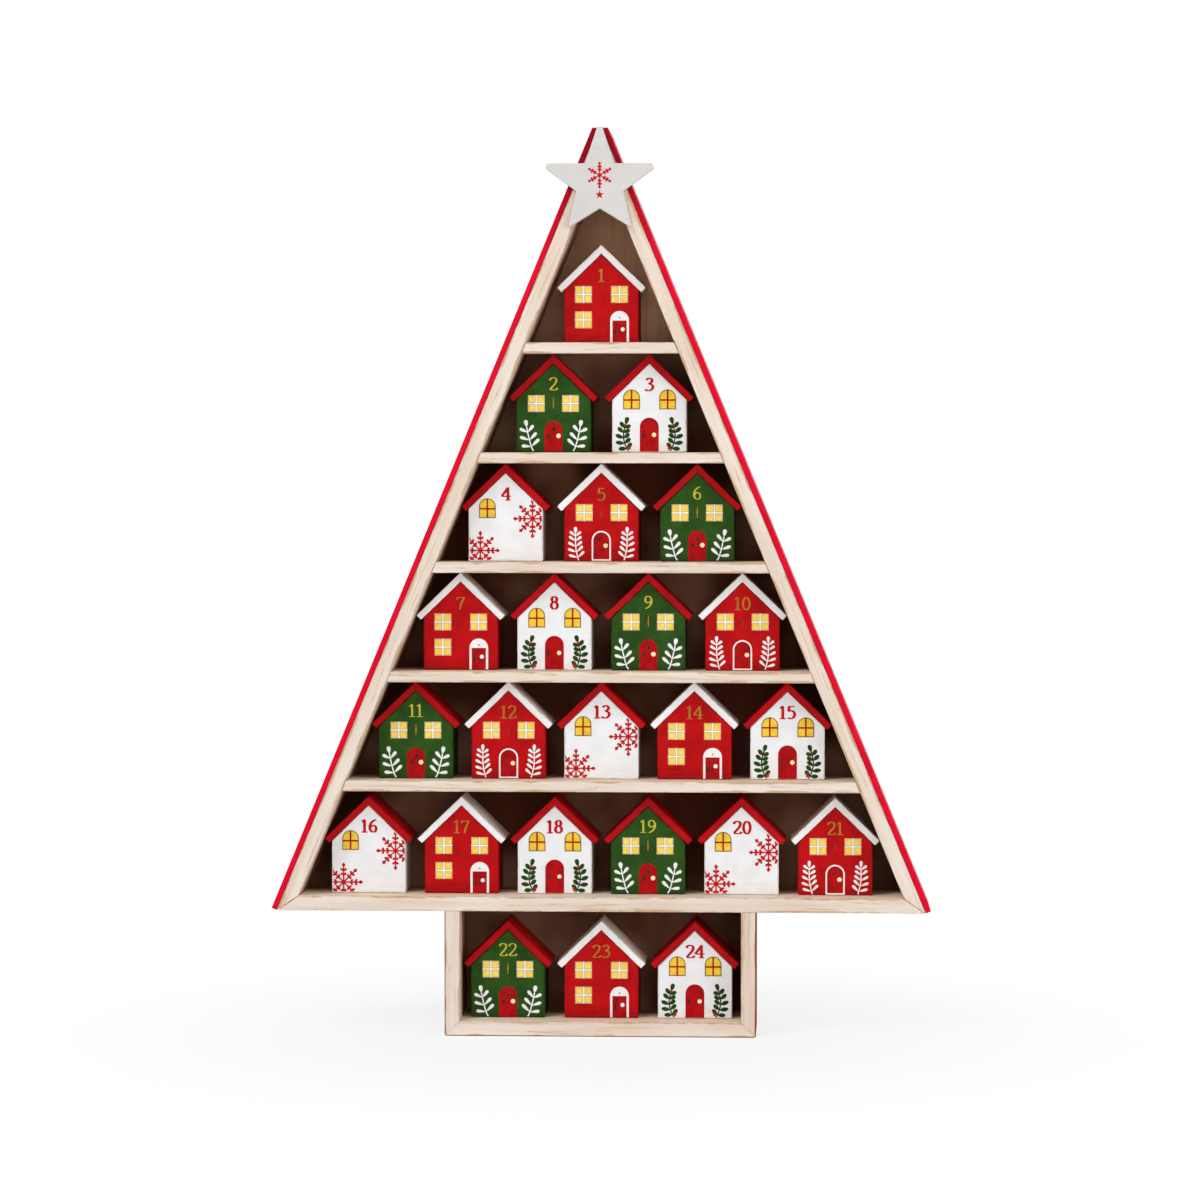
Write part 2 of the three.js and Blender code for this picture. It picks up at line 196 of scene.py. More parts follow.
class Shader:
    """A material under construction. Each call adds nodes and returns an output socket."""

    def __init__(self, name):
        self.material = bpy.data.materials.new(name)
        self.material.use_nodes = True
        self.tree = self.material.node_tree
        self.tree.nodes.clear()

    def add(self, kind, inputs, **settings):
        """A node whose inputs, by name or number, are linked to a socket or set to a value."""
        node = self.tree.nodes.new(kind)
        for name, value in settings.items():
            setattr(node, name, value)
        for key, value in inputs.items():
            if isinstance(value, bpy.types.NodeSocket):
                self.tree.links.new(value, node.inputs[key])
            else:
                node.inputs[key].default_value = value
        return node

    def mapping(self, vector, **inputs):
        return self.add("ShaderNodeMapping", {"Vector": vector, **inputs}).outputs[0]

    def place(self, turn=0.0, centre=(0, 0, 0)):
        """Millimetres from centre, with the axes turned about Y so that X runs along the grain."""
        coordinates = self.add("ShaderNodeTexCoord", {}).outputs["Object"]
        shift = [-value for value in centre]
        scaled = self.mapping(coordinates, Location=shift, Scale=(TO_MM, TO_MM, TO_MM))
        return self.mapping(scaled, Rotation=(0, turn, 0)) if turn else scaled

    def stretch(self, vector, x, y, z):
        """A pattern's coordinates, with that many of its cells in a millimetre."""
        return self.mapping(vector, Scale=(x, y, z))

    def noise(self, vector, scale=1.0, detail=3.0, roughness=0.55, warp=0.0):
        inputs = {"Vector": vector, "Scale": scale, "Detail": detail, "Roughness": roughness}
        return self.add("ShaderNodeTexNoise", {**inputs, "Distortion": warp}).outputs[0]

    def split(self, vector):
        return self.add("ShaderNodeSeparateXYZ", {"Vector": vector}).outputs

    def math(self, operation, first, second=0.0):
        return self.add("ShaderNodeMath", {0: first, 1: second}, operation=operation).outputs[0]

    # Less and more give 1 where they hold and 0 elsewhere
    plus = partialmethod(math, "ADD")
    minus = partialmethod(math, "SUBTRACT")
    times = partialmethod(math, "MULTIPLY")
    most = partialmethod(math, "MAXIMUM")
    size = partialmethod(math, "ABSOLUTE")
    less = partialmethod(math, "LESS_THAN")
    more = partialmethod(math, "GREATER_THAN")

    def choose(self, share, first, second):
        """The first number where share is 0 and the second where it is 1."""
        return self.add("ShaderNodeMix", {0: share, 2: first, 3: second}).outputs[0]

    def mix(self, share, first, second):
        """The same for colours."""
        inputs = {0: share, 6: first, 7: second}
        return self.add("ShaderNodeMix", inputs, data_type="RGBA").outputs[2]

    def span(self, value, low, high, start=0.0, end=1.0):
        """Goes smoothly from start to end while value goes from low to high, and no further."""
        inputs = {"Value": value, 1: low, 2: high, 3: start, 4: end}
        return self.add("ShaderNodeMapRange", inputs, interpolation_type="SMOOTHSTEP").outputs[0]

    def bump(self, height, relief):
        inputs = {"Height": height, "Strength": 1.0, "Distance": relief * MM}
        return self.add("ShaderNodeBump", inputs).outputs[0]

    def finish(self, colour, rough, normal=None):
        inputs = {"Base Color": colour, "Roughness": rough, "Specular IOR Level": SPECULAR}
        if normal is not None:
            inputs["Normal"] = normal
        surface = self.add("ShaderNodeBsdfPrincipled", inputs).outputs[0]
        self.add("ShaderNodeOutputMaterial", {"Surface": surface})
        return self.material


# Materials. A pattern's limits in span are values of its noise, which lies about 0.5


def pine_pattern(s, grain, offset):
    """Whitewashed pine: (colour, relief). Grain's X runs along the board."""
    along = s.mapping(grain, Location=(offset, 0, 0))
    broad = s.noise(s.stretch(along, 0.008, 0.05, 0.09), detail=2)
    streaks = s.noise(s.stretch(along, 0.012, 0.22, 0.5), detail=5, roughness=0.6, warp=0.4)
    fibres = s.noise(s.stretch(along, 0.05, 1.4, 2.4), detail=3)
    smears = s.noise(s.stretch(along, 0.022, 0.12, 0.34), detail=5, roughness=0.6, warp=0.8)
    colour = s.mix(s.span(broad, 0.35, 0.68), PINE_LIGHT, PINE_MID)
    colour = s.mix(s.span(streaks, 0.55, 0.78, 0, 0.7), colour, PINE_STREAK)
    colour = s.mix(s.span(fibres, 0.5, 0.8, 0, 0.22), colour, PINE_STREAK)
    colour = s.mix(s.span(smears, 0.58, 0.72, 0, 0.8), colour, PINE_WORN)
    return colour, s.plus(fibres, streaks)


def pine_patches(s, grain):
    """The broad patches in which a board takes more stain and loses more of its wash."""
    return s.noise(s.stretch(grain, 0.03, 0.06, 0.06), detail=3)


def stained(s, colour, place, patches):
    """Colour with the brown inside the calendar, part stain and part painted shade behind the front
    edges, which a board's top, painted lighter, has further back.
    """
    depth = s.minus(s.split(place)[1], FRONT)
    normal = s.add("ShaderNodeTexCoord", {}).outputs["Normal"]
    top = s.span(s.split(normal)[2], 0.5, 0.8)
    # Painted light: a board's top is paler, as where light falls on it
    colour = s.mix(s.times(top, 0.75), colour, TOP_PAINTED_LIGHT)
    depth = s.minus(depth, s.times(top, TOP_SHADE_DELAY))
    # Painted shade: the brown grows behind the front edge, in uneven patches
    uneven = s.plus(depth, s.span(patches, 0.3, 0.7, -5, 5))
    brown = s.mix(s.span(patches, 0.35, 0.65), INSIDE_BROWN_AND_SHADE, INSIDE_BROWN_AND_SHADE_DARK)
    return s.mix(s.span(uneven, INSIDE_SHADE_START, INSIDE_SHADE_FULL), colour, brown)


def rubbed_rim(s, colour, across, half, place, patches):
    """Colour, darker brown in patches along both edges of a board's front."""
    ragged = s.plus(s.size(across), s.span(patches, 0.35, 0.65, -1.4, 0.9))
    rim = s.span(ragged, half - RIM_WIDTH, half, 0, 0.85)
    on_front = s.less(s.split(place)[1], FRONT + FACE_SKIN)
    return s.mix(s.times(rim, on_front), colour, PINE_WORN)


def pine(name, thickness, turn, centre, offset):
    """A board of whitewashed pine through centre, brown inside with stain and painted shade. Turn
    lays the grain along it.
    """
    s = Shader(name)
    place = s.place()
    grain = s.place(turn, centre)
    colour, relief = pine_pattern(s, grain, offset)
    patches = pine_patches(s, grain)
    colour = rubbed_rim(s, colour, s.split(grain)[2], thickness / 2, place, patches)
    colour = stained(s, colour, place, patches)
    return s.finish(colour, PINE_ROUGH, s.bump(relief, PINE_RELIEF))


def pine_trunk(name, offset=37.0):
    """The base board and the trunk's walls and floor: one solid, but each with its own grain.

    The walls meet the floor on mitres and the base board on a glue line. Outside, the trunk is red.
    """
    s = Shader(name)
    place = s.place()
    x, y, z = s.split(place)
    aside = s.size(x)
    beyond_mitre = s.minus(s.plus(aside, z), TRUNK_OUTSIDE)
    below = s.less(z, TRUNK_TOP - PLAY)
    upright = s.times(s.more(beyond_mitre, 0.0), below)
    grain = s.mix(upright, place, s.place(UPRIGHT))
    colour, relief = pine_pattern(s, grain, offset)
    patches = pine_patches(s, grain)

    # How far a point is from the middle of the board that it belongs to
    wall_across = s.minus(aside, TRUNK_OUTSIDE - TRUNK_BOARD / 2)
    floor_across = s.minus(z, TRUNK_BOARD / 2)
    base_across = s.minus(z, (TRUNK_TOP + BASE_TOP) / 2)
    level_across = s.choose(below, base_across, floor_across)
    across = s.choose(upright, level_across, wall_across)
    colour = rubbed_rim(s, colour, across, TRUNK_BOARD / 2, place, patches)

    def line(distance):
        return s.span(s.size(distance), 0.1, 0.3, 0.6, 0)

    on_wall = s.more(aside, TRUNK_OUTSIDE - TRUNK_BOARD - PLAY)
    near_corner = s.less(z, TRUNK_BOARD + PLAY)
    mitre = s.times(line(beyond_mitre), s.times(on_wall, near_corner))
    in_wall = s.times(on_wall, s.less(aside, TRUNK_OUTSIDE + PLAY))
    glue = s.times(line(s.minus(z, TRUNK_TOP)), in_wall)
    colour = s.mix(s.most(mitre, glue), colour, GRAIN_BROWN)
    colour = stained(s, colour, place, patches)

    side = s.times(s.more(aside, TRUNK_OUTSIDE - TRUNK_SKIN), below)
    outside = s.most(side, s.less(z, TRUNK_SKIN))
    behind = s.more(y, FRONT + RED_SETBACK)
    colour = s.mix(s.times(outside, behind), colour, TRUNK_RED)
    beside = s.more(aside, TRUNK_OUTSIDE - TRUNK_BORDER)
    border = s.times(s.most(beside, s.less(z, TRUNK_BORDER)), below)
    border = s.times(border, s.minus(0.75, behind))
    colour = s.mix(border, colour, TRUNK_DARK)
    return s.finish(colour, PINE_ROUGH, s.bump(relief, PINE_RELIEF))


def trunk_edge(name):
    """The rounded edges of base_and_trunk: dark red round the trunk's outside, pine elsewhere."""
    s = Shader(name)
    place = s.place()
    x, _, z = s.split(place)
    beside = s.more(s.size(x), TRUNK_OUTSIDE - TRUNK_EDGE_SKIN)
    outer = s.times(beside, s.less(z, TRUNK_TOP - RED_SETBACK))
    outer = s.most(outer, s.less(z, TRUNK_EDGE_SKIN))
    wood = s.mix(s.span(rubbed_through(s, place), 0.44, 0.62), PINE_MID, PINE_WORN)
    return s.finish(s.mix(outer, wood, TRUNK_DARK), EDGE_ROUGH)


def rubbed_through(s, place):
    return s.noise(place, scale=0.16, detail=4, roughness=0.65)


def worn_edge(name, paint, bare, share):
    """The rounded edge of a board: the paint, rubbed through in patches on about that share."""
    s = Shader(name)
    rubbed = rubbed_through(s, s.place())
    colour = s.mix(s.span(rubbed, 0.62 - 0.3 * share, 0.74 - 0.2 * share), paint, bare)
    return s.finish(colour, EDGE_ROUGH)


def brushed(s, grain, paint, shade, rough):
    """Brushed paint that lets the wood's grain show a little: (colour, roughness, normal)."""
    clouds = s.noise(grain, scale=0.035, detail=4, roughness=0.6)
    strokes = s.noise(s.stretch(grain, 0.02, 0.5, 0.8), detail=4)
    grit = s.noise(grain, scale=1.1, detail=2)
    colour = s.mix(s.span(clouds, 0.35, 0.7, 0, 0.8), paint, shade)
    colour = s.mix(s.span(strokes, 0.52, 0.75, 0, 0.5), colour, shade)
    relief = s.plus(strokes, s.times(grit, 0.4))
    uneven = s.span(clouds, 0.3, 0.7, rough - 0.06, rough + 0.1)
    return colour, uneven, s.bump(relief, PAINT_RELIEF)


def star_paint(name):
    s = Shader(name)
    return s.finish(*brushed(s, s.place(), STAR_WHITE, darker(STAR_WHITE, 0.93), STAR_ROUGH))


def cover_paint(name, turn):
    """The red boards' paint, with painted shade that darkens it towards the peak."""
    s = Shader(name)
    shade = darker(COVER_RED, 0.76)
    colour, rough, normal = brushed(s, s.place(turn), COVER_RED, shade, COVER_ROUGH)
    # Painted shade towards the peak
    height = s.split(s.place())[2]
    dark = s.span(height, COVER_SHADE_FROM, COVER_SHADE_FULL, 0, 0.85)
    return s.finish(s.mix(dark, colour, darker(COVER_RED, 0.3)), rough, normal)


def roof_paint(roof, front):
    """A roof's paint, with painted shade and bounce light deeper in its compartment."""
    s = Shader(f"{roof}_roof_paint")
    place = s.place()
    colour, rough, normal = brushed(s, place, ROOF_PAINT[roof], ROOF_SHADE[roof], ROOF_ROUGH)
    depth = s.minus(s.split(place)[1], front)
    # Painted shade and bounce light, growing behind the roof's front
    depth_shading = s.span(depth, ROOF_DEPTH_LIGHT_FROM, ROOF_DEPTH_LIGHT_FULL, 0, 0.75)
    return s.finish(s.mix(depth_shading, colour, ROOF_PAINTED_DEPTH_LIGHT[roof]), rough, normal)


def back_brown(name):
    """The back panel: upright grain with a stain that is cloudy in front and plain behind,
    and painted light near the top that is stronger to the right.
    """
    s = Shader(name)
    grain = s.place(UPRIGHT)
    x, y, z = s.split(s.place())
    clouds = s.noise(grain, scale=0.014, detail=2)
    streaks = s.noise(s.stretch(grain, 0.012, 0.3, 0.3), detail=5, roughness=0.62, warp=0.5)
    fibres = s.noise(s.stretch(grain, 0.03, 0.9, 0.9), detail=4)
    dark = s.span(clouds, 0.3, 0.62, 0.5, 1)
    # Painted light: the dark clouds weaken near the top
    dark = s.times(dark, s.span(z, BACK_LIGHT_FROM, BACK_LIGHT_FULL, 1, 0.4))
    cloudy = s.mix(dark, BACK_CLOUD_PALE, BACK_DARK)
    # Painted light near the top, stronger to the right
    high = s.span(z, BACK_LIGHT_FROM, BACK_LIGHT_FULL)
    thin = s.times(high, s.span(x, -BACK_LIGHT_REACH, BACK_LIGHT_REACH, 0.15, 1))
    thin = s.times(thin, s.span(streaks, 0.25, 0.6, 0.7, 1))
    cloudy = s.mix(thin, cloudy, BACK_PAINTED_LIGHT)
    plain = s.mix(s.span(streaks, 0.4, 0.7), BACK_PLAIN, GRAIN_BROWN)
    plain = s.mix(s.span(fibres, 0.45, 0.75, 0, 0.45), plain, GRAIN_DARK)
    colour = s.mix(s.less(y, BACK_REAR - FACE_SKIN), plain, cloudy)
    return s.finish(colour, BACK_ROUGH, s.bump(streaks, BACK_RELIEF))


def house_paint(house):
    """A house's wall paint: worn at its edges, darker towards its foot, with painted shade deep in
    the compartment and bare wood inside the house."""
    paint, shade, worn = WALL_PAINT[house.wall], WALL_SHADE[house.wall], WALL_WORN[house.wall]
    s = Shader(f"{house.name}_paint")
    place = s.place(0.0, (house.centre, house.front, house.bottom))
    x, y, z = s.split(place)
    aside = s.size(x)
    own = s.mapping(place, Location=(house.centre * 3, 0, house.bottom))
    clouds = s.noise(own, scale=0.07, detail=4, roughness=0.6)
    strokes = s.noise(s.stretch(own, 0.05, 0.6, 0.7), detail=4)
    grit = s.noise(own, scale=1.2, detail=2)
    colour = s.mix(s.span(clouds, 0.35, 0.7, 0, 0.85), paint, shade)
    colour = s.mix(s.span(strokes, 0.52, 0.76, 0, 0.5), colour, shade)
    # Painted shade on the side walls, deeper behind the front
    depth_shading = s.span(y, WALL_DEPTH_SHADE_FROM, WALL_DEPTH_SHADE_FULL, 0, 0.75)
    colour = s.mix(depth_shading, colour, WALL_PAINTED_DEPTH_SHADE[house.wall])

    # On the front board the rim is all round, and on the side walls along the front and foot
    rim = s.math("MINIMUM", s.most(s.minus(HOUSE_HALF, aside), y), z)
    ragged = s.plus(rim, s.span(clouds, 0.3, 0.7, -0.5, 0.9))
    colour = s.mix(s.span(ragged, 0.0, RIM_WIDTH, 0.75, 0), colour, worn)
    # Darker towards the wall's foot, in ragged patches
    foot_ragged = s.plus(z, s.span(strokes, 0.3, 0.7, -5, 6))
    foot_dark = s.span(foot_ragged, 0.0, WALL_FOOT_DARK_HEIGHT, WALL_FOOT_DARK[house.wall], 0)
    colour = s.mix(foot_dark, colour, worn)

    fibres = s.noise(s.stretch(own, 0.9, 0.03, 0.9), detail=4)
    bare = s.mix(s.span(fibres, 0.35, 0.7), PINE_RAW, darker(PINE_RAW, 0.72))
    within = s.less(aside, HOUSE_HALF - HOUSE_WALL + INSIDE_PLAY)
    above = s.more(z, HOUSE_WALL - INSIDE_PLAY)
    behind = s.more(y, HOUSE_FRONT_BOARD - INSIDE_PLAY)
    colour = s.mix(s.times(within, s.times(above, behind)), colour, bare)
    relief = s.plus(strokes, s.times(grit, 0.5))
    rough = s.span(clouds, 0.3, 0.7, WALL_SMOOTHEST, WALL_ROUGHEST)
    return s.finish(colour, rough, s.bump(relief, WALL_RELIEF))


def coat_paint(name, paint, shade, rough=COAT_ROUGH):
    """A thin coat of hand-applied paint, a little uneven."""
    s = Shader(name)
    uneven = s.noise(s.place(), scale=0.22, detail=4, roughness=0.6)
    colour = s.mix(s.span(uneven, 0.38, 0.7, 0, 0.9), paint, shade)
    return s.finish(colour, rough, s.bump(uneven, COAT_RELIEF))


# Boards and houses


def repainted(node, *materials):
    """A node's object, with these materials in place of its own."""
    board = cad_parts[node]
    board.data.materials.clear()
    for material in materials:
        board.data.materials.append(material)
    return board


def bevelled(node, material, worn, width):
    """Paints a board or house and rounds its sharp edges, which get the worn paint."""
    board = repainted(node, material, worn)
    weld = board.modifiers.new("weld", "WELD")
    weld.merge_threshold = WELD_DISTANCE
    flat = board.modifiers.new("flat", "DECIMATE")
    flat.decimate_type = "DISSOLVE"
    flat.angle_limit = FLAT_ANGLE
    bevel = board.modifiers.new("bevel", "BEVEL")
    bevel.width = width * MM
    bevel.segments = 2
    bevel.limit_method = "ANGLE"
    bevel.angle_limit = math.radians(30)
    bevel.use_clamp_overlap = False
    bevel.material = 1


def middle_of(node):
    """The middle of a node's box, in millimetres."""
    low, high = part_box(node)
    return tuple(TO_MM / 2 * (low + high))


def side_middle(side):
    """A point on the middle line of a side board, on the right for 1 and on the left for -1."""
    low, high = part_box("side_board_right")
    outer, level = TO_MM * high.x, TO_MM * low.z
    return (side * (outer - SIDE_THICKNESS / 2 / math.cos(LEAN)), 0, level)


def dress_frame():
    worn_pine = worn_edge("pine_worn", PINE_MID, PINE_WORN, 0.6)
    worn_red = worn_edge("cover_worn", COVER_RED, darker(COVER_RED, 0.5), 0.4)
    # Each board has its own offset along the grain, so that no two look alike
    for side, name in ((-1, "left"), (1, "right")):
        turn = UPRIGHT + side * LEAN
        board = pine(f"pine_{name}", SIDE_THICKNESS, turn, side_middle(side), 40 + 30 * side)
        bevelled(f"side_board_{name}", board, worn_pine, BOARD_BEVEL)
        bevelled(f"cover_board_{name}", cover_paint(f"cover_{name}", turn), worn_red, COVER_BEVEL)
    for row in SHELVES:
        node = f"shelf_{row}"
        board = pine(f"pine_{node}", SHELF_THICKNESS, 0.0, middle_of(node), 173 * row)
        bevelled(node, board, worn_pine, BOARD_BEVEL)
    bevelled("base_and_trunk", pine_trunk("pine_trunk"), trunk_edge("trunk_edge"), TRUNK_BEVEL)
    bevelled("back_panel", back_brown("back_brown"), back_brown("back_edge"), BACK_BEVEL)
    repainted("star", star_paint("star_white"))


class House:
    """A day's house: its colours, and where its front board's lower middle is, in millimetres."""

    def __init__(self, day, scheme):
        self.name = f"house_{day:02d}"
        self.day = day
        self.wall = WALLS[scheme]
        self.roof = ROOFS[scheme]
        low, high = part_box(f"{self.name}_body")
        self.centre = TO_MM / 2 * (low.x + high.x)
        self.bottom = TO_MM * low.z
        self.front = TO_MM * low.y


# Drawing: rings of (x, z) points, anticlockwise
ARCH_STEPS = 18
OVAL_STEPS = 16


def rectangle(left, right, low, high):
    return [(left, low), (right, low), (right, high), (left, high)]


def arch(left, right, low, high):
    """A doorway with a round head."""
    middle, radius = (left + right) / 2, (right - left) / 2
    head = []
    for i in range(ARCH_STEPS + 1):
        angle = math.pi * i / ARCH_STEPS
        head.append((middle + radius * math.cos(angle), high - radius + radius * math.sin(angle)))
    return [(left, low), (right, low), *head]


def turned(ring, x, z, turn):
    """A ring drawn about its foot, turned and moved so that its foot is at (x, z)."""
    cos, sin = math.cos(turn), math.sin(turn)
    return [(x + a * cos - b * sin, z + a * sin + b * cos) for a, b in ring]


def oval(x, z, width, height, turn=0.0):
    angles = [2 * math.pi * i / OVAL_STEPS for i in range(OVAL_STEPS)]
    ring = [(width / 2 * math.cos(angle), height / 2 * math.sin(angle)) for angle in angles]
    return turned(ring, x, z, turn)


def leaf(x, z, length, width, turn, fullest=0.78, steps=7):
    """A round-ended leaf with its foot at (x, z), widest at the share fullest of its length."""
    edge = []
    for i in range(1, steps):
        swell = math.sin(math.pi / 2 * i / steps)
        edge.append((length * fullest * i / steps, width / 2 * swell))
    for i in range(steps):
        angle = math.pi / 2 * i / steps
        reach = fullest + (1 - fullest) * math.sin(angle)
        edge.append((length * reach, width / 2 * math.cos(angle)))
    ring = [(0, 0), *[(a, -b) for a, b in edge], (length, 0), *reversed(edge)]
    return turned(ring, x, z, turn)


def diamond(x, z, length, width, turn, widest=0.56):
    """A four-cornered tip with its foot at (x, z), widest past its middle."""
    middle = widest * length
    return turned([(0, 0), (middle, -width / 2), (length, 0), (middle, width / 2)], x, z, turn)


def smooth(points, steps=5):
    """A Catmull-Rom curve through points, with that many steps from each to the next."""
    points = [points[0], *points, points[-1]]
    curve = []
    for a, b, c, d in zip(points, points[1:], points[2:], points[3:]):
        for i in range(steps):
            t = i / steps
            point = []
            for p, q, r, s in zip(a, b, c, d):
                slope, bend = (r - p) * t, (2 * p - 5 * q + 4 * r - s) * t**2
                point.append(0.5 * (2 * q + slope + bend + (3 * q - p - 3 * r + s) * t**3))
            curve.append(tuple(point))
    curve.append(points[-2])
    return curve


def ribbon(points, thick, thin=None):
    """Quads along a line. As with a broad pen, upright strokes are thick and level ones thin."""
    thin = thick if thin is None else thin
    sides = []
    for i, (x, z) in enumerate(points):
        before, after = points[max(i - 1, 0)], points[min(i + 1, len(points) - 1)]
        run, rise = after[0] - before[0], after[1] - before[1]
        size = math.hypot(run, rise) or 1
        run, rise = run / size, rise / size
        half = (thin + (thick - thin) * abs(rise)) / 2
        sides.append(((x - rise * half, z + run * half), (x + rise * half, z - run * half)))
    return [[after[0], *before, after[1]] for before, after in zip(sides, sides[1:])]


def mirrored(rings):
    """Rings mirrored left to right, still anticlockwise."""
    return [[(-a, b) for a, b in ring[::-1]] for ring in rings]


def pen_loop(half_width, middle, half_height, steps):
    """A closed pen line from the top, or from the bottom where half_height is negative."""
    angles = [2 * math.pi * i / steps for i in range(steps + 1)]
    return [(half_width * math.sin(a), middle + half_height * math.cos(a)) for a in angles]


# Digits of height 1 about x = 0, as pen lines
PEN_LINES = {
    "0": [pen_loop(0.205, 0.48, -0.455, 12)],
    "1": [[(0, 0.0), (0, 0.95)], [(-0.19, 0.025), (0.19, 0.025)],
          [(-0.17, 0.8), (-0.07, 0.87), (0.02, 0.95)]],
    "2": [[(-0.21, 0.74), (-0.16, 0.88), (-0.01, 0.945), (0.15, 0.88), (0.19, 0.72),
           (0.11, 0.5), (-0.05, 0.28), (-0.2, 0.08)],
          [(-0.23, 0.035), (0.23, 0.035)], [(0.2, 0.05), (0.26, 0.17)]],
    "3": [[(-0.19, 0.82), (-0.1, 0.91), (0.01, 0.945), (0.14, 0.88), (0.17, 0.75),
           (0.1, 0.62), (-0.05, 0.535)],
          [(-0.05, 0.53), (0.12, 0.49), (0.21, 0.37), (0.2, 0.21), (0.1, 0.08),
           (-0.06, 0.03), (-0.19, 0.07), (-0.24, 0.14)]],
    "4": [[(0.11, 0.0), (0.11, 0.97)], [(-0.29, 0.3), (0.29, 0.3)],
          [(-0.04, 0.025), (0.26, 0.025)], [(0.1, 0.93), (-0.04, 0.68), (-0.27, 0.32)]],
    "5": [[(-0.13, 0.95), (-0.15, 0.75), (-0.17, 0.56)], [(-0.14, 0.92), (0.19, 0.92)],
          [(-0.17, 0.56), (-0.03, 0.62), (0.12, 0.56), (0.2, 0.4), (0.18, 0.21),
           (0.07, 0.07), (-0.08, 0.03), (-0.22, 0.09)]],
    "6": [[(0.19, 0.95), (0.03, 0.88), (-0.12, 0.71), (-0.2, 0.48), (-0.19, 0.26),
           (-0.11, 0.09), (0.02, 0.035), (0.14, 0.1), (0.19, 0.28), (0.15, 0.44),
           (0.03, 0.53), (-0.1, 0.48), (-0.18, 0.36)]],
    "7": [[(0.23, 0.9), (0.1, 0.62), (0.0, 0.3), (-0.05, 0.02)], [(-0.23, 0.91), (0.25, 0.91)],
          [(-0.2, 0.9), (-0.22, 0.76)]],
    "8": [pen_loop(0.155, 0.745, 0.2, 10), pen_loop(0.195, 0.285, 0.255, 10)],
}
NINE_TOP = 0.97
PEN_LINES["9"] = [[(-x, NINE_TOP - z) for x, z in line] for line in PEN_LINES["6"]]
ADVANCE, ONE_ADVANCE = 0.71, 0.57  # how wide a digit's place is, and a 1's
DIGIT_STRETCH = 1.2
THIN_STROKE = 0.5  # a level stroke's width, as a share of an upright one's
RED_PEN, GOLD_PEN = 0.18, 0.115  # an upright stroke's width for a digit of height 1


def digits(number, x, baseline, height, pen):
    """The rings of a number, centred on x."""
    text = str(number)
    widths = [height * (ONE_ADVANCE if digit == "1" else ADVANCE) for digit in text]
    left = x - sum(widths) / 2
    across = height * DIGIT_STRETCH
    rings = []
    for digit, width in zip(text, widths):
        middle = left + width / 2
        for line in PEN_LINES[digit]:
            for quad in ribbon(smooth(line), pen, THIN_STROKE * pen):
                rings.append([(middle + across * a, baseline + height * b) for a, b in quad])
        left += width
    return rings


# How many stems wide a snowflake's hub, tips and barbs are
FLAKE_HUB, FLAKE_TIP_WIDTH, FLAKE_BARB_WIDTH = 2.9, 2.7, 1.5
# In arm lengths: the stem, the tip's foot and length, and each pair of barbs' foot and length
FLAKE_STEM, FLAKE_TIP_FOOT, FLAKE_TIP_LENGTH = 0.86, 0.75, 0.28
FLAKE_BARBS = ((0.34, 0.2), (0.56, 0.22))
FLAKE_SHORT_ARM = 0.96
FLAKE_BARB_ANGLE = 0.8


def snowflake(x, z, radius, arms=8, stem=1.02):
    """A snowflake with V-shaped barbs. Where it has 8 arms, every other one is a little shorter."""
    rings = [oval(x, z, FLAKE_HUB * stem, FLAKE_HUB * stem)]
    for arm in range(arms):
        turn = math.pi / 2 + 2 * math.pi * arm / arms
        short = arms == 8 and arm % 2 == 1
        reach = radius * (FLAKE_SHORT_ARM if short else 1)

        def along(share):
            return x + share * reach * math.cos(turn), z + share * reach * math.sin(turn)

        rings += ribbon([(x, z), along(FLAKE_STEM)], stem)
        tip_length, tip_width = FLAKE_TIP_LENGTH * reach, FLAKE_TIP_WIDTH * stem
        rings.append(diamond(*along(FLAKE_TIP_FOOT), tip_length, tip_width, turn))
        for share, length in FLAKE_BARBS:
            for angle in (-FLAKE_BARB_ANGLE, FLAKE_BARB_ANGLE):
                size = (length * reach, FLAKE_BARB_WIDTH * stem)
                rings.append(leaf(*along(share), *size, turn + angle, fullest=0.7, steps=4))
    return rings


def star_ring(x, z, radius, waist=0.4):
    """A five-pointed star with its waist at that share of its radius."""
    ring = []
    for i in range(10):
        angle = math.pi / 2 + math.pi * i / 5
        reach = radius if i % 2 == 0 else radius * waist
        ring.append((x + reach * math.cos(angle), z + reach * math.sin(angle)))
    return ring


TRIANGLES_INSIDE = 1  # delaunay_2d_cdt's output: triangles that lie in a face
TOUCHING = 1e-4  # points nearer than this are one


